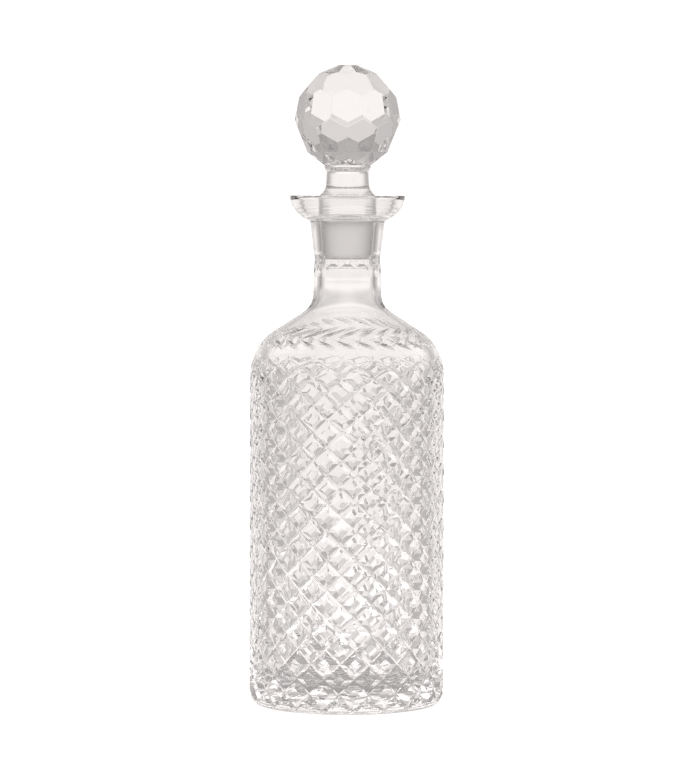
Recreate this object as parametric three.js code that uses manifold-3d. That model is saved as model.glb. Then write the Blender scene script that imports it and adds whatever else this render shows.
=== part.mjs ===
// Cut-crystal wine decanter with a ground-in, facet-cut ball stopper.
// Millimetres, +Z up. The origin is the centre of the foot, on the plane the decanter stands on.
import * as THREE from "three";
import { ConvexGeometry } from "three/addons/geometries/ConvexGeometry.js";
import { mergeVertices } from "three/addons/utils/BufferGeometryUtils.js";
import Module from "manifold-3d";

const wasm = await Module();
wasm.setup();

// Driving dimensions of the bottle's blank, before it is cut.
const BODY_R = 47.25; // outside of the straight body
const WALL = 5.2; // wall of the body
const FOOT_R = 42.1; // outer edge of the ring it stands on
const FOOT_INNER_R = 33; // inner edge of that ring
const KICK = 1.6; // height of the recess inside the ring
const CORNER = BODY_R - FOOT_R; // rounding between foot and body
const FLOOR = 11; // thickness of the glass under the wine
const BODY_TOP = 159; // where the straight body ends
const SHOULDER_BEND = 57; // above it the radius is less by the square of the rise over this
const NECK_R = 16.1; // outside of the neck at its narrowest
const LIP_R = 28.2; // outside of the flared lip
const LIP_ROOT = 234.5; // where the lip leaves the neck
const RIM = 247; // top of the lip
const BORE_R = 12.4; // bore under the stopper

// Driving dimensions of the mitre-cut diamonds on the body.
const GROOVES = 20; // grooves of each hand
const GROOVE_DEPTH = 1.73;
const FLAT_SHARE = 0.4; // share of a diamond's side that stays uncut
const FIRST_CROSSING = 2.4; // height of the lowest row of crossings
const LAST_ROW = 24; // the highest row of crossings, counted from 0
const ROW_RISE = 7.3; // from the lowest row to the next
const ROW_TIGHTENING = 0.0185; // the rows close up by twice this from each to the next
const FIRST_TURN = 3.8 - 90; // direction of one crossing in the lowest row, in degrees
const DRIFT = 2.8; // how far round the hand-cut rows have crept by the height of DRIFT_TOP
const DRIFT_TOP = 85;

// Driving dimensions of the stopper.
const TAPER_TOP = 237.7; // top of the ground taper
const TAPER_BOTTOM = 216.5;
const TAPER_TOP_R = 13;
const TAPER_BOTTOM_R = 11.7;
const FIT_GAP = 0.3; // between the taper and the bore
const COLLAR_R = 14.1;
const STEM_R = 10.4;
const BEAD_R = 12; // bead between stem and ball
const BALL_CENTRE = 284.7;
const TABLE = 310; // flat top of the ball
const BALL_BELOW = 23.4; // from the ball's centre down to where it ends inside the bead
const FACETS = 10; // facets in each row round the ball
const FACET_TURN = THREE.MathUtils.degToRad(-1 - 90); // direction that one facet of the widest row faces
// Rows of facets from the top down: how far up a facet faces, in degrees, how far it lies from the
// ball's centre, and whether it sits between the facets of the widest row.
const FACET_ROWS = [
  { latitude: 66, distance: 24.9, between: false },
  { latitude: 40.4, distance: 24.3, between: true },
  { latitude: 10.5, distance: 23.85, between: false },
  { latitude: -22, distance: 24.2, between: true },
  { latitude: -52, distance: 25.1, between: true },
];

// Profiles are paths of (radius, height).
function outlineOf(draw, divisions) {
  const path = new THREE.Path();
  draw(path);
  return path.getPoints(divisions);
}

const CURVE_STEPS = 5;

// From the recess under the bottle, round the foot's edge, to just below the lowest crossings.
const footOutline = outlineOf((path) => {
  path.moveTo(FOOT_INNER_R - 2, KICK);
  path.lineTo(FOOT_INNER_R, 0);
  path.lineTo(FOOT_R, 0);
  path.quadraticCurveTo(FOOT_R + 2.2, 0, FOOT_R + 3.35, 1.1);
}, 2);

// From just above the highest crossings, over the shoulder, up the neck and out to the rim.
const shoulderOutline = outlineOf((path) => {
  path.moveTo(BODY_R - 1.6, BODY_TOP + 9.5);
  path.bezierCurveTo(44.6, 171.6, 42, 176.5, 36.7, 180.6);
  path.lineTo(27.5, 186.6);
  path.bezierCurveTo(19.9, 191.4, 16.5, 192.9, NECK_R + 0.3, 201);
  path.lineTo(NECK_R, 211);
  path.lineTo(NECK_R + 0.5, 220.4);
  path.lineTo(NECK_R + 1.7, 232);
  path.lineTo(NECK_R + 2, LIP_ROOT);
  path.bezierCurveTo(23.5, 236.5, 28, 240.5, LIP_R, RIM - 0.5);
  path.lineTo(LIP_R - 0.5, RIM);
}, CURVE_STEPS);

// From the rim, down the bowl of the lip, through the bore and the cavity to the floor.
const cavityOutline = outlineOf((path) => {
  const inside = BODY_R - WALL;
  path.moveTo(LIP_R - 2, RIM);
  path.quadraticCurveTo(22.5, RIM - 0.8, 20.5, 242);
  path.quadraticCurveTo(19, 238.6, TAPER_TOP_R + FIT_GAP + 0.6, 238.2);
  path.lineTo(TAPER_TOP_R + FIT_GAP, TAPER_TOP);
  path.lineTo(TAPER_BOTTOM_R + FIT_GAP, TAPER_BOTTOM);
  path.lineTo(BORE_R, 208);
  path.lineTo(BORE_R, 205);
  path.bezierCurveTo(BORE_R, 197, 14.5, 192.8, 20, 188.4);
  path.lineTo(32, 179.6);
  path.bezierCurveTo(39.5, 174, inside, 168, inside, 158);
  path.lineTo(inside, FLOOR + 9);
  path.quadraticCurveTo(inside, FLOOR, inside - 10, FLOOR);
}, CURVE_STEPS);

// The blank's outside radius at a height in the cut band: rounded at the foot, straight, and bent in
// at the shoulder.
function blankRadius(height) {
  if (height >= CORNER) return BODY_R - Math.max(height - BODY_TOP, 0) ** 2 / SHOULDER_BEND;
  const below = CORNER - height;
  return FOOT_R + Math.sqrt(CORNER * CORNER - below * below);
}

// A closed surface, built from points and from faces that turn anticlockwise seen from outside.
class Surface {
  places = [];
  point(turn, radius, height) {
    return new THREE.Vector3(radius * Math.cos(turn), radius * Math.sin(turn), height);
  }
  face(...corners) {
    for (let i = 2; i < corners.length; i++)
      for (const corner of [corners[0], corners[i - 1], corners[i]])
        this.places.push(corner.x, corner.y, corner.z);
  }
  // Joins two rings with the same number of points, the second further along the outline.
  join(first, second) {
    first.forEach((point, i) => {
      const next = (i + 1) % first.length;
      this.face(point, first[next], second[next], second[i]);
    });
  }
  geometry() {
    const flat = new THREE.BufferGeometry();
    flat.setAttribute("position", new THREE.Float32BufferAttribute(this.places, 3));
    return mergeVertices(flat, 1e-3);
  }
}

const STEP = (2 * Math.PI) / GROOVES;
const FLAT = FLAT_SHARE / 2;

// Height of a row of crossings. Halves and other shares of a row are heights in between.
function rowHeight(row) {
  return FIRST_CROSSING + ROW_RISE * row - ROW_TIGHTENING * row * row;
}

// Direction of the crossings of the even rows at a height. Those of the odd rows are halfway between.
function rowTurn(height) {
  const creep = DRIFT * Math.sin((Math.PI / 2) * Math.min(height / DRIFT_TOP, 1));
  return THREE.MathUtils.degToRad(FIRST_TURN + creep);
}

// The directions of a ring's points, in steps from a crossing: itself, then both corners of a flat.
const ringShares = [];
for (let i = 0; i < GROOVES; i++) ringShares.push(i, i + 0.5 - FLAT, i + 0.5 + FLAT);

const surface = new Surface();

// A ring whose points line up with the crossings of the row next to it.
function ringAt(radius, height, row) {
  const start = rowTurn(rowHeight(row));
  return ringShares.map((share) => surface.point(start + share * STEP, radius, height));
}

// A corner of the diamond lattice, never outside the blank: `steps` round from a crossing of the even rows.
function latticePoint(steps, row, depth) {
  const height = rowHeight(row);
  const radius = Math.min(blankRadius(height), BODY_R - depth);
  return surface.point(rowTurn(height) + steps * STEP, radius, height);
}

// One diamond, centred in row `row`: an uncut flat and the four groove faces round it.
// Those of the lowest and highest rows are halves.
function addDiamond(row, index) {
  const middle = index + (row % 2 ? 1 : 0.5);
  const left = latticePoint(middle - 0.5, row, GROOVE_DEPTH);
  const right = latticePoint(middle + 0.5, row, GROOVE_DEPTH);
  const flatLeft = latticePoint(middle - FLAT, row, 0);
  const flatRight = latticePoint(middle + FLAT, row, 0);
  if (row < LAST_ROW) {
    const top = latticePoint(middle, row + 1, GROOVE_DEPTH);
    const flatTop = latticePoint(middle, row + 2 * FLAT, 0);
    surface.face(left, flatLeft, flatTop, top);
    surface.face(top, flatTop, flatRight, right);
    surface.face(flatLeft, flatRight, flatTop);
  }
  if (row > 0) {
    const bottom = latticePoint(middle, row - 1, GROOVE_DEPTH);
    const flatBottom = latticePoint(middle, row - 2 * FLAT, 0);
    surface.face(bottom, flatBottom, flatLeft, left);
    surface.face(right, flatRight, flatBottom, bottom);
    surface.face(flatLeft, flatBottom, flatRight);
  }
}

// The ring of points along the lowest or highest row of crossings.
function crossingRing(row) {
  return ringShares.map((share, i) => latticePoint(share, row, i % 3 ? 0 : GROOVE_DEPTH));
}

function bottleGeometry() {
  const under = surface.point(0, 0, KICK);
  const floor = surface.point(0, 0, FLOOR);
  const lower = footOutline.map((p) => ringAt(p.x, p.y, 0));
  lower.push(crossingRing(0));
  const upper = [crossingRing(LAST_ROW)];
  for (const p of [...shoulderOutline, ...cavityOutline]) upper.push(ringAt(p.x, p.y, LAST_ROW));
  const foot = lower[0];
  const last = upper.at(-1);
  foot.forEach((point, i) => surface.face(under, foot[(i + 1) % foot.length], point));
  last.forEach((point, i) => surface.face(point, last[(i + 1) % last.length], floor));
  for (const rings of [lower, upper])
    rings.slice(1).forEach((ring, i) => surface.join(rings[i], ring));
  for (let row = 0; row <= LAST_ROW; row++)
    for (let index = 0; index < GROOVES; index++) addDiamond(row, index);
  return surface.geometry();
}

// The ball: all that lies behind every facet's plane, as the hull of the corners where planes meet.
function ballGeometry() {
  const planes = [
    new THREE.Plane(new THREE.Vector3(0, 0, 1), -(TABLE - BALL_CENTRE)),
    new THREE.Plane(new THREE.Vector3(0, 0, -1), -BALL_BELOW),
  ];
  for (const { latitude, distance, between } of FACET_ROWS) {
    const tilt = THREE.MathUtils.degToRad(latitude);
    for (let i = 0; i < FACETS; i++) {
      const turn = FACET_TURN + ((i + (between ? 0.5 : 0)) / FACETS) * 2 * Math.PI;
      const normal = new THREE.Vector3().setFromSphericalCoords(1, Math.PI / 2 - tilt, 0);
      normal.set(normal.z * Math.cos(turn), normal.z * Math.sin(turn), normal.y);
      planes.push(new THREE.Plane(normal, -distance));
    }
  }
  const corners = [];
  const system = new THREE.Matrix3();
  planes.forEach((a, i) =>
    planes.slice(i + 1).forEach((b, j) =>
      planes.slice(i + j + 2).forEach((c) => {
        system.set(...a.normal, ...b.normal, ...c.normal);
        if (Math.abs(system.determinant()) < 1e-4) return;
        const corner = new THREE.Vector3(-a.constant, -b.constant, -c.constant);
        corner.applyMatrix3(system.invert());
        if (planes.every((plane) => plane.distanceToPoint(corner) < 1e-6)) corners.push(corner);
      }),
    ),
  );
  return new ConvexGeometry(corners).translate(0, 0, BALL_CENTRE);
}

// Bead, stem, flare, collar and ground taper, turned in one piece.
function shankGeometry() {
  const inBall = BALL_CENTRE - 14; // the shank runs up inside the ball to here
  const outline = outlineOf((path) => {
    path.moveTo(0, TAPER_BOTTOM);
    path.lineTo(TAPER_BOTTOM_R - 0.6, TAPER_BOTTOM);
    path.lineTo(TAPER_BOTTOM_R, TAPER_BOTTOM + 0.6);
    path.lineTo(TAPER_TOP_R, TAPER_TOP);
    path.lineTo(TAPER_TOP_R, 238.6);
    path.lineTo(COLLAR_R, 239.7);
    path.lineTo(COLLAR_R, 245);
    path.quadraticCurveTo(COLLAR_R, 246.6, 12.6, 247.8);
    path.quadraticCurveTo(STEM_R, 249.6, STEM_R, 254);
    path.lineTo(STEM_R + 0.1, 257.8);
    path.quadraticCurveTo(STEM_R + 0.4, 259.6, BEAD_R - 0.2, 260.4);
    path.lineTo(BEAD_R, 262.4);
    path.lineTo(BEAD_R - 2, inBall);
    path.lineTo(0, inBall);
  }, 4);
  return new THREE.LatheGeometry(outline, 48).rotateX(Math.PI / 2);
}

// A three.js geometry as a manifold-3d solid, and back.
function solidOf(geometry) {
  for (const name of ["normal", "uv"]) geometry.deleteAttribute(name);
  const merged = mergeVertices(geometry, 1e-4);
  return new wasm.Manifold(
    new wasm.Mesh({
      numProp: 3,
      vertProperties: merged.attributes.position.array,
      triVerts: new Uint32Array(merged.index.array),
    }),
  );
}

function geometryOf(solid) {
  const mesh = solid.getMesh();
  const geometry = new THREE.BufferGeometry();
  geometry.setAttribute("position", new THREE.BufferAttribute(mesh.vertProperties, 3));
  geometry.setIndex(new THREE.BufferAttribute(mesh.triVerts, 1));
  geometry.computeVertexNormals();
  return geometry;
}

// Materials.
const crystal = new THREE.MeshStandardMaterial({
  name: "crystal",
  color: 0xf2f4f4,
  roughness: 0.02,
  metalness: 0,
  transparent: true,
  opacity: 0.4,
});

const decanter = new THREE.Group();

const bottle = new THREE.Mesh(bottleGeometry(), crystal);
bottle.name = "bottle";
decanter.add(bottle);

const stopper = new THREE.Mesh(
  geometryOf(solidOf(ballGeometry()).add(solidOf(shankGeometry()))),
  crystal.clone(),
);
stopper.name = "stopper";
decanter.add(stopper);

export default decanter;
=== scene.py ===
"""A cut-crystal wine decanter with its ground-in ball stopper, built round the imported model.

Lengths are millimetres, heights are above the table, and turns are degrees round the axis,
0 at the front and growing to the right. Points become metres when a mesh is made.
"""

import itertools
import math

import bpy
import numpy as np
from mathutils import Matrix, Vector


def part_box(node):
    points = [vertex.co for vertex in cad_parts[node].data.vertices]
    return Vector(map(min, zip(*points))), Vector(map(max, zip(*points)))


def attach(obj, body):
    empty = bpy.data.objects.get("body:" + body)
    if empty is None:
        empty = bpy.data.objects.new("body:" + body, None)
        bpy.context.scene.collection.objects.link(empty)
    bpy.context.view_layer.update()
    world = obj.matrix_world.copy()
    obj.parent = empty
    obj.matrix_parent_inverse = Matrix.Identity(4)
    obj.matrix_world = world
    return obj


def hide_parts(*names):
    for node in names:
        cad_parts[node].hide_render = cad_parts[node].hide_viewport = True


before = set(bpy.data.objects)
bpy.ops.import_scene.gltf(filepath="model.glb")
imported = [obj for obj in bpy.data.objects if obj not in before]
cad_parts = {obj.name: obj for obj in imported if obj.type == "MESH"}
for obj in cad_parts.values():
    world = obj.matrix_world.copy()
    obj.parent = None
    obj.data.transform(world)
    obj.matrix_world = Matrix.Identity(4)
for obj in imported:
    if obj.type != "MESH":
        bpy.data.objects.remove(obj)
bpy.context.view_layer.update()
MM = 0.001

# ---------------------------------------------------------------- sizes

BOTTLE_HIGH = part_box("bottle")[1]
STOPPER_LOW, STOPPER_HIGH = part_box("stopper")

BODY_R = BOTTLE_HIGH.x / MM  # outside of the straight side
RIM = BOTTLE_HIGH.z / MM  # height of the lip
BALL_TOP = STOPPER_HIGH.z / MM  # height of the flat on the ball
TAPER_END = STOPPER_LOW.z / MM  # height of the bottom of the ground taper

FOOT_R = 42.1
CORNER_RISE = 5.8  # height of the rounding between foot and side
CORNER_TURN = 70  # degrees of ellipse in that rounding, so that its upper edge stays crisp
KICK = 1.6  # recess under the foot
FLOOR = 11.0  # glass under the wine
WALL = 5.2
CAVITY_R = BODY_R - WALL

GROOVES = 20  # mitre grooves of each hand
GROOVE_DEPTH = 1.73
GROOVE_HALF = 0.3  # half a groove's width, as a share of the pitch
GROOVE_BOTTOM = 0.028  # half the narrow flat that the wheel's edge leaves along the bottom
GROOVE_LINES = (0, GROOVE_BOTTOM, 0.165, GROOVE_HALF, 0.4)  # mesh lines from the bottom outwards
GROOVE_UNEVENNESS = 0.06  # how much the depth varies from groove to groove, as a share
FIRST_CROSSING = 2.4
ROW_RISE = 7.3  # from the lowest row of crossings to the next
ROW_TIGHTENING = 0.0185
FIRST_TURN = 3.8
DRIFT = 2.8  # how far the hand-cut rows have crept round by the height of DRIFT_TOP
DRIFT_TOP = 85
LAST_ROW = 25  # the row of crossings where the grooves have run out
FADE_ROW = 22.4  # where they begin to
CLOSING_ROW = 22.5  # where the rows begin to close up
TOP_CLOSING = 0.62  # how fast they do

LEAVES = 28
LEAF_LINE = 178.4  # height of the line that the two rows of leaves spring from
LEAF_SLANT = 2.25  # degrees round for each millimetre along the shoulder
LEAF_DEPTH = 0.7
LEAF_HALF = 1.5  # half a leaf's width
LEAF_UP = (0.2, 9.4)  # a leaf's ends, along the shoulder from the line
LEAF_DOWN = (0.2, 6.4)
LEAF_FIRST_TURN = 4.5
LEAF_LINE_R = 38  # radius at the line
LEAF_TIP_HALF = 0.35  # half the mesh lines' narrowest spread, in degrees
LEAF_BAND = (-7.2, 9.8)  # the band of rings with leaves, along the shoulder from the line
LEAF_RING_STEP = 0.42
ABOVE_LEAVES = 10.2  # where the rings of the neck begin, along the shoulder from the line
LEAF_LINES = 8  # mesh lines for each leaf
COLUMNS = LEAVES * LEAF_LINES  # mesh lines round everything above the diamonds

NECK_CUTS = 14  # hollow cuts in each row round the neck
NECK_CUT_ROWS = (216.2, 211.8)
NECK_CUT_HALF = (3.6, 2.25)  # half the width and half the height of one
NECK_CUT_DEPTH = 0.5
NECK_CUT_R = 16.2  # outside of the neck at the cuts

STAR_RAYS = 32
STAR_R = 30.0
STAR_TILT = 0.57  # how steeply a ray's two faces rise
STAR_TIP = 4.5  # length over which a ray runs out

TAPER_TOP = 237.7
TAPER_TOP_R = 13.0
TAPER_END_R = 11.7
FIT_GAP = 0.12  # between the taper and the bore
BOWL_RIPPLE = 0.03  # tooling marks inside the lip

BALL_CENTRE = 284.7
BALL_BELOW = 23.0  # from the ball's centre down to the bead
FACETS = 10  # in each row
FACET_TURN = -1.0  # turn of the middle of one facet of the widest row
FACET_EDGE = 0.3  # how far the polished edges reach into the facets
FACET_EDGE_TURN = 0.3  # edges that turn by more radians than this are polished
SHANK_COLUMNS = 112  # mesh lines round the stem, the collar and the taper
# latitude in degrees, distance from the ball's centre, share of a facet turned from the widest row
FACET_ROWS = (
    (66.0, 24.9, 0.0),
    (40.4, 24.3, 0.5),
    (10.5, 23.85, 0.0),
    (-22.0, 24.2, 0.5),
    (-52.0, 25.1, 0.5),
)

CREASE = 12  # edges that turn by more degrees than this stay sharp

# ---------------------------------------------------------------- glass, lights and camera

IOR = 1.545  # lead crystal
WAVE_REACH = 0.0004  # metres from the top of a wave to the bottom, at full strength
MOST_HAZE = 0.02
GROUND_COLOUR = (1, 1, 0.995)
GRIT_SCALE = 1500  # waves in a metre
GRIT_STRENGTH = 0.15
GRIT_REACH = 0.0001  # metres
PATCH_SCALE = 140  # waves of the blur in a metre

# direction, dot products where it begins and is full, strength
PANELS = (
    ((0, 0.99, -0.12), 0.84, 0.94, 0.5),  # the white wall behind, brightest low down
    ((0.93, 0, 0.37), 0.72, 0.9, 0.41),  # soft boxes to the right and the left
    ((-0.93, 0, 0.37), 0.72, 0.9, 0.27),
    ((0, -0.7, 0.7), 0.75, 0.95, 0.5),  # one above the camera
    ((0, -1, 0), 0.86, 0.96, 0.26),  # the pale wall behind the camera
)
DIM = 0.59  # everything between the panels
WALL_TINT = (1.0, 0.955, 0.94, 1)
TABLE_TINT = (1, 0.96, 0.945, 1)
TABLE_HALF = 30  # metres
SEEN_WALL = 1.2  # what is seen directly is at least this bright
SEEN_TABLE = 0.8

CAMERA_DISTANCE = 1.785  # metres
CAMERA_DIP = 2.9  # degrees below level
CAMERA_LEAN = -0.14  # degrees
SENSOR, LENS = 36, 173.4

# ---------------------------------------------------------------- curves and skins


def bezier(points, steps):
    """A Bezier curve at steps + 1 even parameters: the sum of its control points, each weighted by
    its Bernstein polynomial."""
    points = np.asarray(points, float)
    degree = len(points) - 1
    t = np.linspace(0, 1, steps + 1)[:, None]
    weights = [math.comb(degree, k) * t**k * (1 - t) ** (degree - k) for k in range(degree + 1)]
    return sum(w * p for w, p in zip(weights, points))


def outline(*stretches):
    """Curves joined end to end, without the doubled joints."""
    return np.vstack([stretches[0]] + [s[1:] for s in stretches[1:]])


def smooth(x, low, high):
    """0 below low, 1 above high, and the cubic 3t^2 - 2t^3 in between."""
    t = np.clip((x - low) / (high - low), 0, 1)
    return t * t * (3 - 2 * t)


def place(turn, radius, height):
    """Points from a turn in degrees, a radius and a height: x = r sin, y = -r cos, z = height."""
    turn, radius, height = np.broadcast_arrays(np.radians(turn), radius, height)
    return np.stack([radius * np.sin(turn), -radius * np.cos(turn), height], -1)


class Skin:
    """A closed surface being made: points, and faces that turn anticlockwise seen from outside."""

    def __init__(self):
        self.points, self.faces, self.finishes, self.count = [], [], [], 0

    def add(self, points):
        """Stores points and returns their numbers, in the array's own shape."""
        numbers = self.count + np.arange(points[..., 0].size).reshape(points.shape[:-1])
        self.points.append(points.reshape(-1, 3))
        self.count += numbers.size
        return numbers

    def face(self, corners, finish=0):
        """Stores faces, one for each row of an array of corner numbers."""
        corners = corners.reshape(-1, corners.shape[-1])
        self.faces += corners.tolist()
        self.finishes.append(np.full(len(corners), finish))

    def sheet(self, rows, finish=0):
        """Four-sided faces between each ring of a closed sheet and the next."""
        turned = np.roll(rows, -1, axis=1)
        self.face(np.stack([rows[:-1], turned[:-1], turned[1:], rows[1:]], -1), finish)

    def join(self, first, second, finish=0):
        """Triangles between two rings with different numbers of points. Each edge of one ring takes
        the point of the other ring that has been reached at the edge's middle."""
        all_points = np.vstack(self.points)
        turns = []
        for ring in (first, second):
            xy = all_points[ring, :2]
            turns.append(np.unwrap(np.arctan2(xy[:, 0], -xy[:, 1])))
        turns[1] = turns[1] - 2 * np.pi * round((turns[1][0] - turns[0][0]) / (2 * np.pi))
        middles = [(t + np.append(t[1:], t[0] + 2 * np.pi)) / 2 for t in turns]
        for mine, other, ahead in ((0, 1, False), (1, 0, True)):
            ring, across = (first, second)[mine], (first, second)[other]
            laps = np.concatenate([middles[other] + k * 2 * np.pi for k in (-1, 0, 1)])
            reached = np.searchsorted(laps, middles[mine]) % len(across)
            here, there = ring, np.roll(ring, -1)
            pair = [there, here] if ahead else [here, there]
            self.face(np.stack([*pair, across[reached]], -1), finish)

    def fan(self, ring, centre, facing_in=False, finish=0):
        """Triangles from a ring to one point."""
        middle = np.full(len(ring), self.add(np.array([centre], float))[0])
        here, there = (np.roll(ring, -1), ring) if facing_in else (ring, np.roll(ring, -1))
        self.face(np.stack([here, there, middle], -1), finish)

    def build(self, name, materials, crease):
        """The mesh object: smooth, but for edges that turn by more than crease degrees."""
        mesh = bpy.data.meshes.new(name)
        mesh.from_pydata(np.vstack(self.points) * MM, [], self.faces)
        mesh.polygons.foreach_set("material_index", np.concatenate(self.finishes))
        for material in materials:
            mesh.materials.append(material)
        mesh.polygons.foreach_set("use_smooth", np.ones(len(mesh.polygons), bool))
        mesh.set_sharp_from_angle(angle=math.radians(crease))
        mesh.validate()
        mesh.update()
        made = bpy.data.objects.new(name, mesh)
        bpy.context.scene.collection.objects.link(made)
        return made


# ---------------------------------------------------------------- the bottle's shape


def shoulder_outline():
    """Radius and height from the top of the straight side to where the neck begins."""
    return outline(
        bezier([(BODY_R, 159), (BODY_R, 164.4), (45.3, 174.7), (36.7, 180.6)], 60),
        bezier([(36.7, 180.6), (27.5, 186.6)], 30),
        bezier([(27.5, 186.6), (19.9, 191.4), (16.5, 192.9), (16.4, 201)], 40),
    )


def blank_radius(height):
    """The uncut outside: an ellipse quarter at the foot, then straight, then the shoulder."""
    reach = (BODY_R - FOOT_R) / math.sin(math.radians(CORNER_TURN))
    drop = CORNER_RISE / (1 - math.cos(math.radians(CORNER_TURN)))
    share = 1 - np.clip(height, 0, CORNER_RISE) / drop
    radius = FOOT_R + reach * np.sqrt(1 - share**2)
    shoulder = shoulder_outline()
    return radius - (BODY_R - np.interp(height, shoulder[:, 1], shoulder[:, 0]))


def row_height(row):
    """Height of a row of crossings: each row rises a little less than the one below. Below row 0
    the rows close up on the foot, and from CLOSING_ROW up they close up as the grooves run out."""
    low = FIRST_CROSSING * (1 + np.minimum(row, 0)) ** 3
    up = np.maximum(row, 0)
    closing = TOP_CLOSING * np.maximum(up - CLOSING_ROW, 0) ** 2
    return low + ROW_RISE * up - ROW_TIGHTENING * up**2 - closing


def groove_strength(row):
    """1 where the grooves are at full depth, falling to 0 at the last row."""
    return 1 - smooth(row, FADE_ROW, LAST_ROW + 0.15)


def groove_profile(off):
    """The depth, as a share, at an offset from a groove's middle in shares of the pitch: a V with
    a narrow flat bottom."""
    return np.clip((GROOVE_HALF - np.abs(off)) / (GROOVE_HALF - GROOVE_BOTTOM), 0, 1)


def diamonds(skin):
    """The cut side. Each mesh line follows a groove: a point has a place a among the right-hand
    grooves and b among the left-hand ones, its turn is their mean and its row is their difference.
    The depth is the deeper of two grooves, and the lines close in as a groove runs out.
    Returns the lowest and the highest ring of points."""
    shares = np.array(GROOVE_LINES + (0.5,) + tuple(1 - x for x in GROOVE_LINES[:0:-1]))
    lines = len(shares)
    number = np.arange(GROOVES * lines)[None, :]
    ring = np.arange(-lines, LAST_ROW * lines + 1)[:, None]
    places = [i // lines + shares[i % lines] for i in (number + 0 * ring, number - ring)]
    strength = groove_strength(places[0] - places[1])
    narrowing = 0.25 + 0.75 * strength
    moved, cuts = [], []
    for hand, at in enumerate(places):
        nearest = np.floor(at + 0.5 - 1e-9)
        off = at - nearest
        size = np.abs(off)
        closed = size * narrowing + (1 - narrowing) * 0.5 * (2 * size) ** 3
        moved.append(nearest + np.sign(off) * closed)
        uneven = 1 + GROOVE_UNEVENNESS * np.sin(2.3 * (nearest % GROOVES) + hand)
        cuts.append(uneven * groove_profile(off))
    depth = GROOVE_DEPTH * strength * np.maximum(*cuts)
    height = row_height(moved[0] - moved[1])
    creep = FIRST_TURN + DRIFT * np.sin(np.pi / 2 * np.minimum(height / DRIFT_TOP, 1))
    turn = creep + (moved[0] + moved[1]) / 2 * 360 / GROOVES
    blank = blank_radius(height)
    radius = np.where(height < CORNER_RISE, np.minimum(blank, BODY_R - depth), blank - depth)
    points = skin.add(place(turn, radius, height))

    left, right = points, np.roll(points, -1, axis=1)
    above = np.vstack([right[1:], right[:1]])
    below = np.vstack([left[-1:], left[:-1]])
    upright = (2 * number - ring + 1) % lines == 0
    upright[[0, -1]] = False
    level = ~upright
    has_above = np.ones_like(upright)
    has_above[-1] = False
    has_below = np.ones_like(upright)
    has_below[0] = False
    for corners, kept in (
        ((left, right, above), level & has_above),
        ((left, below, right), level & has_below),
        ((left, below, above), upright),
        ((below, right, above), upright),
    ):
        skin.face(np.stack([c[kept] for c in corners], -1))
    return points[0], points[-1]


def star(skin, ring):
    """The underside: the standing ring, the recess and a star of rays that meet in the middle. A
    ray's faces rise by a fixed share of the distance from its edge, and run out at their tips."""
    rows = [(39.5, 0.0), (35.5, 0.0), (34.4, 0.25), (33.4, 0.9), (32.6, KICK), (31.0, KICK)]
    r, z = np.array(rows).T[:, :, None]
    turn = np.linspace(0, 360, GROOVES * 8, endpoint=False) + FIRST_TURN
    points = skin.add(place(turn, r, z))
    skin.join(points[0], ring)
    skin.sheet(points[::-1])
    per_ray = 4
    columns = np.arange(STAR_RAYS * per_ray)
    radii = np.array([STAR_R, 29.0, 27.5, 25.5, 22, 17, 12, 7, 3])[:, None]
    to_edge = np.abs(columns % per_ray - per_ray / 2) / (per_ray / 2)
    half_ray = radii * math.radians(180 / STAR_RAYS)
    rise = STAR_TILT * half_ray * np.clip((STAR_R - radii) / STAR_TIP, 0, 1) ** 0.5
    points_in = skin.add(place(columns * 360 / columns.size, radii, KICK + rise * (1 - to_edge)))
    skin.join(points_in[0], points[-1])
    skin.sheet(points_in[::-1])
    skin.fan(points_in[-1], (0, 0, KICK), facing_in=True)


def leaf_rows(line):
    """Rings over the shoulder with the two rows of leaf cuts. The mesh lines slant along the
    leaves, and gather at each leaf's edges: half width w(1 - x^2) along a leaf, depth likewise."""
    lengths = np.append(0, np.cumsum(np.hypot(*np.diff(line, axis=0).T)))
    centre = np.interp(LEAF_LINE, line[:, 1], lengths)
    along = np.arange(*LEAF_BAND, LEAF_RING_STEP)
    radius = np.interp(centre + along, lengths, line[:, 0])[:, None]
    height = np.interp(centre + along, lengths, line[:, 1])[:, None]
    from_line = np.abs(along)[:, None]
    ends = np.where(along[:, None] > 0, 0, 1)
    first = np.choose(ends, (LEAF_UP[0], LEAF_DOWN[0]))
    last = np.choose(ends, (LEAF_UP[1], LEAF_DOWN[1]))
    x = np.clip(2 * (from_line - first) / (last - first) - 1, -1, 1)
    swell = 1 - x**2
    lean = math.atan2(1, math.radians(LEAF_SLANT) * LEAF_LINE_R)
    half = np.degrees(LEAF_HALF * swell / (math.sin(lean) * radius))
    half = np.maximum(half, LEAF_TIP_HALF)
    pitch = 360 / LEAVES
    in_leaf = np.array([-1, -0.5, 0, 0.5, 1])
    gap = np.array([0.25, 0.5, 0.75])
    leaf = np.hstack([half * in_leaf, half + (pitch - 2 * half) * gap])
    depth = np.hstack([LEAF_DEPTH * swell * (1 - np.abs(in_leaf)), 0 * half * gap])
    starts = LEAF_FIRST_TURN + pitch * np.arange(LEAVES)
    turn = starts[None, :, None] + leaf[:, None, :] + LEAF_SLANT * from_line[:, :, None]
    turn = turn.reshape(len(along), -1)
    depth = np.tile(depth, (1, LEAVES))
    tilt = np.arctan2(-np.gradient(radius[:, 0]), np.gradient(height[:, 0]))[:, None]
    return turn, radius - depth * np.cos(tilt), height - depth * np.sin(tilt)


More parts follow.
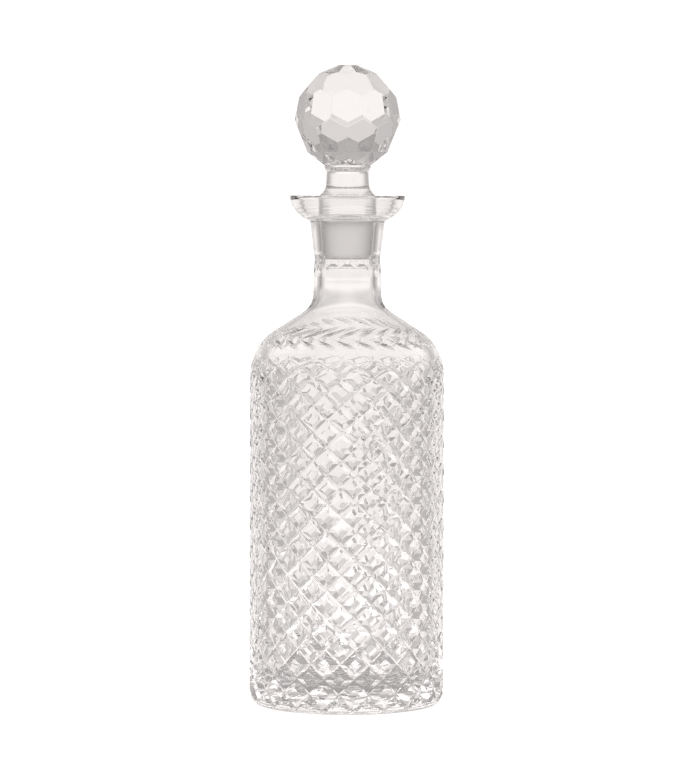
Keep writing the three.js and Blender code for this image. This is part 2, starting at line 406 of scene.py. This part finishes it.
def neck_outline(line):
    """Radius and height from above the leaves, up the neck, out to the lip and over to the rim."""
    lengths = np.append(0, np.cumsum(np.hypot(*np.diff(line, axis=0).T)))
    start = np.interp(LEAF_LINE, line[:, 1], lengths) + ABOVE_LEAVES
    along = np.linspace(start, lengths[-1], 14)
    shoulder = np.stack([np.interp(along, lengths, line[:, k]) for k in (0, 1)], -1)
    return outline(
        shoulder,
        bezier([(16.4, 201), (16.35, 208.6)], 5),
        bezier([(16.35, 208.6), (16.0, 212), (16.3, 219.4)], 30),
        bezier([(16.3, 219.4), (16.9, 224), (17.8, 232.6)], 6),
        bezier([(17.8, 232.6), (18.0, 233.8), (18.1, 234.2)], 2),
        bezier([(18.1, 234.2), (18.3, 234.9), (19.2, 235.2)], 4),
        bezier([(19.2, 235.2), (24.0, 237.2), (27.2, 241), (27.9, RIM - 0.5)], 16),
        bezier([(27.9, RIM - 0.5), (27.95, RIM), (27.5, RIM)], 4),
    )


def bowl_outline():
    """Radius and height from the rim, down the tooled bowl of the lip and the bore to the cavity."""
    bowl = bezier([(22.6, RIM - 1.1), (21.8, 243.5), (20.6, 240.6), (18.6, 239.3)], 22)
    bowl[1:-1, 0] += BOWL_RIPPLE * np.sin(np.arange(1, 22) * 1.35)
    bore_r = TAPER_TOP_R + FIT_GAP
    end_r = TAPER_END_R + FIT_GAP
    return outline(
        bezier([(27.5, RIM), (24.5, RIM - 0.2), (22.9, RIM - 0.7)], 5),
        bezier([(22.9, RIM - 0.7), (22.6, RIM - 1.1)], 1),
        bowl,
        bezier([(18.6, 239.3), (16.5, 238.4), (bore_r + 0.7, 238.3)], 5),
        bezier([(bore_r + 0.7, 238.3), (bore_r, 238.1), (bore_r, TAPER_TOP)], 3),
        bezier([(bore_r, TAPER_TOP), (end_r, TAPER_END)], 10),
        bezier([(end_r, TAPER_END), (12.0, 213), (12.4, 210), (12.4, 205)], 6),
    )


def cavity_outline():
    """Radius and height from the foot of the bore, over the inner shoulder, down to the floor."""
    return outline(
        bezier([(12.4, 205), (12.4, 197), (14.5, 192.8), (20, 188.4)], 16),
        bezier([(20, 188.4), (32, 179.6)], 10),
        bezier([(32, 179.6), (39.5, 174), (CAVITY_R, 168), (CAVITY_R, 158)], 16),
        bezier([(CAVITY_R, 158), (CAVITY_R, FLOOR + 10)], 20),
        bezier([(CAVITY_R, FLOOR + 10), (CAVITY_R, FLOOR + 1), (33, FLOOR)], 14),
        bezier([(33, FLOOR), (14, FLOOR - 0.6), (2.5, FLOOR - 0.6)], 10),
    )


def neck_cuts(turn, height):
    """How deep the hollow cuts round the neck are: D (1 - x^2 - y^2) inside each oval."""
    pitch = 360 / NECK_CUTS
    depth = np.zeros(np.broadcast(turn, height).shape)
    for row, middle in enumerate(NECK_CUT_ROWS):
        off = (turn + pitch * row / 2) % pitch - pitch / 2
        x = np.radians(off) * NECK_CUT_R / NECK_CUT_HALF[0]
        y = (height - middle) / NECK_CUT_HALF[1]
        depth = np.maximum(depth, NECK_CUT_DEPTH * (1 - x**2 - y**2))
    return depth


def blown(turn, height):
    """How far the inside, which only met air, waves in and out: a few slow waves added up."""
    a = np.radians(turn)
    return (
        0.10 * np.sin(3 * a + height / 17)
        + 0.08 * np.sin(5 * a - height / 11 + 1)
        + 0.06 * np.sin(2 * a + height / 7 + 2)
    )


def build_bottle(materials):
    """The bottle: underside, diamonds, leaves, neck, lip, bore and cavity as one closed skin."""
    skin = Skin()
    lowest, highest = diamonds(skin)
    star(skin, lowest)
    line = shoulder_outline()
    turn, radius, height = leaf_rows(line)
    leaves = skin.add(place(turn, radius, height))
    skin.join(highest, leaves[0])
    skin.sheet(leaves)

    r, z = neck_outline(line).T[:, :, None]
    even = np.linspace(0, 360, COLUMNS, endpoint=False)
    settle = smooth(np.arange(len(r)), -1, 14)[:, None]
    neck_turn = turn[-1] + settle * (even + turn[-1][0] - turn[-1])
    neck = skin.add(place(neck_turn, r - neck_cuts(neck_turn, z), z))
    skin.sheet(np.vstack([leaves[-1:], neck]))

    r, z = bowl_outline()[1:].T[:, :, None]
    inside = neck_turn[-1, ::2]
    bowl = skin.add(place(inside, r, z))
    skin.join(neck[-1], bowl[0])
    skin.sheet(bowl)

    r, z = cavity_outline()[1:].T[:, :, None]
    wave = smooth(z, 205, 190) * smooth(r, 0, 30) * blown(inside, z)
    wall = z > FLOOR + 6  # the wave moves the wall in and out, and the floor up and down
    cavity = skin.add(place(inside, r + wave * wall, z + wave * ~wall))
    skin.sheet(np.vstack([bowl[-1:], cavity]))
    skin.fan(cavity[-1], (0, 0, FLOOR - 0.6))
    return skin.build("crystal_bottle", materials, CREASE)


# ---------------------------------------------------------------- the stopper's shape


def ball_planes():
    """Unit normals and distances of the ball's facets, the table and the cut above the bead."""
    normals, distances = [(0, 0, 1), (0, 0, -1)], [BALL_TOP - BALL_CENTRE, BALL_BELOW]
    for latitude, distance, share in FACET_ROWS:
        turns = FACET_TURN + (np.arange(FACETS) + share) * 360 / FACETS
        up, out = math.sin(math.radians(latitude)), math.cos(math.radians(latitude))
        normals += place(turns, out, up).tolist()
        distances += [distance] * FACETS
    return np.array(normals, float), np.array(distances, float)


def ball(skin):
    """The ball is what lies behind every facet's plane. Its corners are where three planes meet,
    and each facet is its plane's corners in turning order. Returns the ring above the bead."""
    normals, distances = ball_planes()
    triples = np.array(list(itertools.combinations(range(len(normals)), 3)))
    systems = normals[triples]
    real = np.abs(np.linalg.det(systems)) > 1e-4
    corners = np.linalg.solve(systems[real], distances[triples[real]][..., None])[..., 0]
    corners = corners[np.all(corners @ normals.T <= distances + 1e-6, axis=1)]
    corners = np.unique(np.round(corners, 5), axis=0)
    numbers = skin.add(corners + (0, 0, BALL_CENTRE))
    for index, (normal, distance) in enumerate(zip(normals, distances)):
        on = np.flatnonzero(np.abs(corners @ normal - distance) < 1e-4)
        spread = corners[on] - corners[on].mean(0)
        side = np.cross(normal, spread[0])
        around = np.arctan2(spread @ side, spread @ spread[0] * np.linalg.norm(normal))
        order = numbers[on[np.argsort(around)]]
        if index == 1:
            rim = order[::-1]
        else:
            skin.face(order[None, :])
    return rim


def shank_outline():
    """Radius and height from the bead down the stem and over the collar to the ground taper."""
    return outline(
        bezier([(11.0, BALL_CENTRE - BALL_BELOW), (11.5, 261.2), (11.2, 260.2)], 5),
        bezier([(11.2, 260.2), (10.9, 259.2), (10.3, 258.9)], 4),
        bezier([(10.3, 258.9), (10.2, 258.5), (10.25, 256), (10.5, 252.5)], 8),
        bezier([(10.5, 252.5), (10.6, 249.6), (12.4, 248.2), (13.5, 247.1)], 12),
        bezier([(13.5, 247.1), (14.1, 246.4), (14.15, 245.2)], 5),
        bezier([(14.15, 245.2), (14.0, 242.6), (14.1, 239.7)], 6),
        bezier([(14.1, 239.7), (14.05, 238.9), (13.3, 238.6)], 4),
        bezier([(13.3, 238.6), (TAPER_TOP_R, 238.3), (TAPER_TOP_R, TAPER_TOP)], 3),
    )


def taper_outline():
    """Radius and height down the ground taper."""
    return outline(
        bezier([(TAPER_TOP_R, TAPER_TOP), (TAPER_END_R, TAPER_END + 1.1)], 10),
        bezier([(TAPER_END_R, TAPER_END + 1.1), (TAPER_END_R, TAPER_END), (10.6, TAPER_END)], 5),
    )


def build_stopper(materials):
    """The stopper: faceted ball, bead, stem, collar and ground taper as one closed skin."""
    skin = Skin()
    rim = ball(skin)
    turns = np.linspace(0, 360, SHANK_COLUMNS, endpoint=False)
    r, z = shank_outline().T[:, :, None]
    shank = skin.add(place(turns, r, z))
    skin.join(shank[0], rim)
    skin.sheet(shank[::-1])
    r, z = taper_outline()[1:].T[:, :, None]
    taper = skin.add(place(turns, r, z))
    skin.sheet(np.vstack([shank[-1:], taper])[::-1], finish=1)
    skin.fan(taper[-1], (0, 0, TAPER_END), facing_in=True, finish=1)
    return skin.build("crystal_stopper", materials, CREASE)


# ---------------------------------------------------------------- node helpers


def wired(tree, kind, settings, *inputs):
    """A node with its settings, its inputs linked in order or set to numbers; returns the node."""
    node = tree.nodes.new("ShaderNode" + kind)
    for name, value in settings.items():
        setattr(node, name, value)
    for socket, source in zip(node.inputs, inputs):
        if isinstance(source, bpy.types.NodeSocket):
            tree.links.new(source, socket)
        elif source is not None:
            socket.default_value = source
    return node


def step(tree, source, low, high, top):
    """A smooth rise from 0 to top between two values of the source."""
    settings = {"interpolation_type": "SMOOTHSTEP"}
    return wired(tree, "MapRange", settings, source, low, high, 0.0, top).outputs["Result"]


def combined(tree, operation, first, second):
    """The result of a Math node on two values."""
    return wired(tree, "Math", {"operation": operation}, first, second).outputs[0]


def total_of(tree, sources):
    """The sum of several values."""
    total = sources[0]
    for source in sources[1:]:
        total = combined(tree, "ADD", total, source)
    return total


def lit_at_least(tree, strength, least):
    """The strength, but never below the least for what is seen directly and not through glass."""
    seen = tree.nodes.new("ShaderNodeLightPath").outputs["Is Camera Ray"]
    return combined(tree, "MAXIMUM", strength, combined(tree, "MULTIPLY", seen, least))


# ---------------------------------------------------------------- finishes


def slow_waves():
    """A group for glass: very slow, shallow waves in the surface, as fire polishing leaves."""
    group = bpy.data.node_groups.new("slow_waves", "ShaderNodeTree")
    for name, value in (("Wave size", 40.0), ("Wave height", 0.1)):
        socket = group.interface.new_socket(name, in_out="INPUT", socket_type="NodeSocketFloat")
        socket.default_value = value
    group.interface.new_socket("Normal", in_out="OUTPUT", socket_type="NodeSocketVector")
    group.interface.new_socket("Haze", in_out="OUTPUT", socket_type="NodeSocketFloat")
    nodes, links = group.nodes, group.links
    start, end = nodes.new("NodeGroupInput"), nodes.new("NodeGroupOutput")
    spot = nodes.new("ShaderNodeTexCoord")
    noise = nodes.new("ShaderNodeTexNoise")
    noise.inputs["Detail"].default_value = 1.0
    bump = nodes.new("ShaderNodeBump")
    bump.inputs["Distance"].default_value = WAVE_REACH
    haze = nodes.new("ShaderNodeMapRange")
    haze.inputs["To Min"].default_value = 0.0
    haze.inputs["To Max"].default_value = MOST_HAZE
    links.new(spot.outputs["Object"], noise.inputs["Vector"])
    links.new(start.outputs["Wave size"], noise.inputs["Scale"])
    links.new(noise.outputs["Fac"], bump.inputs["Height"])
    links.new(start.outputs["Wave height"], bump.inputs["Strength"])
    links.new(noise.outputs["Fac"], haze.inputs["Value"])
    links.new(bump.outputs["Normal"], end.inputs["Normal"])
    links.new(haze.outputs["Result"], end.inputs["Haze"])
    return group


def clear_glass(name, colour):
    """Glass still without a surface of its own: the material, its node tree and its shader."""
    material = bpy.data.materials.new(name)
    material.use_nodes = True
    shader = material.node_tree.nodes["Principled BSDF"]
    shader.inputs["Base Color"].default_value = (*colour, 1)
    shader.inputs["Transmission Weight"].default_value = 1.0
    shader.inputs["IOR"].default_value = IOR
    return material, material.node_tree, shader


def crystal(name, waves, colour, wave_height):
    """Polished lead crystal."""
    material, tree, shader = clear_glass(name, colour)
    group = tree.nodes.new("ShaderNodeGroup")
    group.node_tree = waves
    group.inputs["Wave height"].default_value = wave_height
    tree.links.new(group.outputs["Normal"], shader.inputs["Normal"])
    tree.links.new(group.outputs["Haze"], shader.inputs["Roughness"])
    return material


def ground_glass(name, least_blur, most_blur):
    """Glass ground with fine grit: a blur that varies a little, and a fine grain."""
    material, tree, shader = clear_glass(name, GROUND_COLOUR)
    spot = tree.nodes.new("ShaderNodeTexCoord")
    grit = tree.nodes.new("ShaderNodeTexNoise")
    grit.inputs["Scale"].default_value = GRIT_SCALE
    bump = tree.nodes.new("ShaderNodeBump")
    bump.inputs["Strength"].default_value = GRIT_STRENGTH
    bump.inputs["Distance"].default_value = GRIT_REACH
    patches = tree.nodes.new("ShaderNodeTexNoise")
    patches.inputs["Scale"].default_value = PATCH_SCALE
    blur = tree.nodes.new("ShaderNodeMapRange")
    blur.inputs["To Min"].default_value = least_blur
    blur.inputs["To Max"].default_value = most_blur
    for noise in (grit, patches):
        tree.links.new(spot.outputs["Object"], noise.inputs["Vector"])
    tree.links.new(grit.outputs["Fac"], bump.inputs["Height"])
    tree.links.new(bump.outputs["Normal"], shader.inputs["Normal"])
    tree.links.new(patches.outputs["Fac"], blur.inputs["Value"])
    tree.links.new(blur.outputs["Result"], shader.inputs["Roughness"])
    return material


# ---------------------------------------------------------------- the studio


def table_paint():
    """A pale table that glows as far as the glass sees: behind the decanter, and in a ring round it
    that reaches a third of a metre. Straight under the decanter it glows less."""
    paint = bpy.data.materials.new("pale_table")
    paint.use_nodes = True
    tree = paint.node_tree
    shader = tree.nodes["Principled BSDF"]
    shader.inputs["Base Color"].default_value = (0.9, 0.9, 0.9, 1)
    shader.inputs["Roughness"].default_value = 0.8
    shader.inputs["Emission Color"].default_value = TABLE_TINT
    spot = tree.nodes.new("ShaderNodeTexCoord").outputs["Object"]
    reach = wired(tree, "VectorMath", {"operation": "LENGTH"}, spot).outputs["Value"]
    way = wired(tree, "VectorMath", {"operation": "NORMALIZE"}, spot).outputs["Vector"]
    back = wired(tree, "SeparateXYZ", {}, way).outputs["Y"]
    behind = step(tree, back, 0.6, 0.9, 0.5)
    ring = step(tree, reach, 0.32, 0.15, 0.33)
    under = step(tree, reach, 0.09, 0.05, -0.2)
    glow = lit_at_least(tree, total_of(tree, [behind, ring, under]), SEEN_TABLE)
    tree.links.new(glow, shader.inputs["Emission Strength"])
    return paint


def table():
    """The table top, at height 0."""
    half = TABLE_HALF
    corners = [(-half, -half, 0), (half, -half, 0), (half, half, 0), (-half, half, 0)]
    mesh = bpy.data.meshes.new("table_top")
    mesh.from_pydata(corners, [], [(0, 1, 2, 3)])
    mesh.materials.append(table_paint())
    top = bpy.data.objects.new("table_top", mesh)
    bpy.context.scene.collection.objects.link(top)


def surround():
    """A dim room with soft panels behind, at both sides, above and in front. It is darker low down
    at the sides, overhead, and in the upper part of the wall behind."""
    world = bpy.data.worlds.new("surround")
    bpy.context.scene.world = world
    world.use_nodes = True
    tree = world.node_tree
    background = tree.nodes["Background"]
    way = tree.nodes.new("ShaderNodeTexCoord").outputs["Generated"]
    axes = wired(tree, "SeparateXYZ", {}, way).outputs
    low = step(tree, axes["Z"], 0.3, 0.08, -0.27)
    aside = step(tree, axes["Y"], 0.85, 0.6, 1.0)
    high = step(tree, axes["Z"], 0.03, 0.13, -0.36)
    ahead = step(tree, axes["Y"], 0.9, 0.97, 1.0)
    overhead = step(tree, axes["Z"], 0.3, 0.75, -0.34)
    skirting = combined(tree, "MULTIPLY", low, aside)
    upper_wall = combined(tree, "MULTIPLY", high, ahead)
    parts = [skirting, upper_wall, overhead]
    for direction, begin, full, strength in PANELS:
        facing = wired(tree, "VectorMath", {"operation": "DOT_PRODUCT"}, way, direction)
        parts.append(step(tree, facing.outputs["Value"], begin, full, strength))
    glow = combined(tree, "ADD", total_of(tree, parts), DIM)
    glow = lit_at_least(tree, glow, SEEN_WALL)
    tree.links.new(glow, background.inputs["Strength"])
    background.inputs["Color"].default_value = WALL_TINT


def camera():
    """In front, level with the rim, and tilted down until the decanter is in the middle."""
    data = bpy.data.cameras.new("camera")
    data.sensor_width = SENSOR
    data.lens = LENS
    viewer = bpy.data.objects.new("camera", data)
    viewer.location = (0, -CAMERA_DISTANCE, RIM * MM)
    viewer.rotation_euler = (math.radians(90 - CAMERA_DIP), math.radians(CAMERA_LEAN), 0)
    bpy.context.scene.collection.objects.link(viewer)
    bpy.context.scene.camera = viewer


def light_paths():
    """Glass behind glass behind glass needs long light paths."""
    scene = bpy.context.scene
    scene.view_settings.view_transform = "Standard"
    cycles = scene.cycles
    cycles.max_bounces = 40
    cycles.transmission_bounces = 40
    cycles.glossy_bounces = 16
    cycles.diffuse_bounces = 4


# ---------------------------------------------------------------- assembly

waves = slow_waves()
bottle_crystal = crystal("bottle_crystal", waves, (0.99, 0.99, 0.99), 0.1)
stopper_crystal = crystal("stopper_crystal", waves, (0.985, 0.985, 0.985), 0.02)
taper_glass = ground_glass("ground_taper", 0.4, 0.5)
edge_glass = ground_glass("facet_edges", 0.2, 0.35)

bottle = build_bottle([bottle_crystal])
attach(bottle, "decanter")
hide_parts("bottle")

stopper_glasses = [stopper_crystal, taper_glass, edge_glass]
stopper = build_stopper(stopper_glasses)
edge = stopper.modifiers.new("polished_edges", "BEVEL")
edge.width = FACET_EDGE * MM
edge.segments = 1
edge.limit_method = "ANGLE"
edge.angle_limit = FACET_EDGE_TURN
edge.harden_normals = True  # or the facets would not shine as flats
edge.material = stopper_glasses.index(edge_glass)
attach(stopper, "stopper")
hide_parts("stopper")

table()
surround()
camera()
light_paths()
